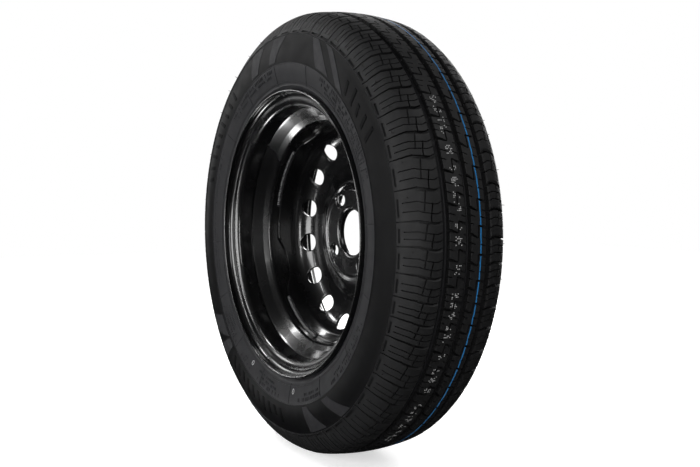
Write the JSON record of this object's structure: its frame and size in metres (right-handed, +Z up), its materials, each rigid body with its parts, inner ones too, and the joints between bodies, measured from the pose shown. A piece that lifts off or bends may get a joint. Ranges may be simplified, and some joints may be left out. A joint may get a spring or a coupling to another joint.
{
  "type": "trailer wheel",
  "caption": "Gloss black pressed steel wheel with a ventilated disc bolted to the hub, fitted with a grooved tubeless tyre and a snap-in valve.",
  "frame": {"origin": "the wheel's centre: on the spin axis, in the middle plane of the tyre and rim", "axes": "+Y along the spin axis, pointing outboard to the valve side; -Y inboard to the hub; +Z up as the wheel stands on its tread"},
  "size_m": [0.5619, 0.1482, 0.562],
  "materials": {
    "tyre_rubber": "dark grey moulded rubber with a slight sheen",
    "black_paint": "gloss black paint on pressed steel",
    "valve_rubber": "black rubber",
    "brass": "turned brass",
    "seal_plastic": "off-white",
    "spring_steel": "drawn wire",
    "cap_plastic": "black moulded plastic"
  },
  "bodies": {
    "wheel": {"tyre": "tyre_rubber", "rim": "black_paint", "wheel_disc": "black_paint", "disc_welds": "black_paint", "valve_body": "valve_rubber", "valve_stem": "brass", "valve_core_barrel": "brass", "valve_core_seal": "seal_plastic", "valve_core_spring": "spring_steel"},
    "core_pin": {"valve_core_pin": "brass", "valve_core_cup_seal": "valve_rubber"},
    "cap": {"valve_cap": "cap_plastic", "valve_cap_seal": "valve_rubber"}
  },
  "joints": [
    {"name": "cap_off", "type": "slide", "parent": "wheel", "child": "cap", "axis": [-0.1193, 0.87, -0.4784], "range_m": [0, 0.012]},
    {"name": "core_press", "type": "slide", "parent": "wheel", "child": "core_pin", "axis": [0.1193, -0.87, 0.4784], "range_m": [0, 0.0012], "deforming": ["valve_core_spring"]}
  ]
}
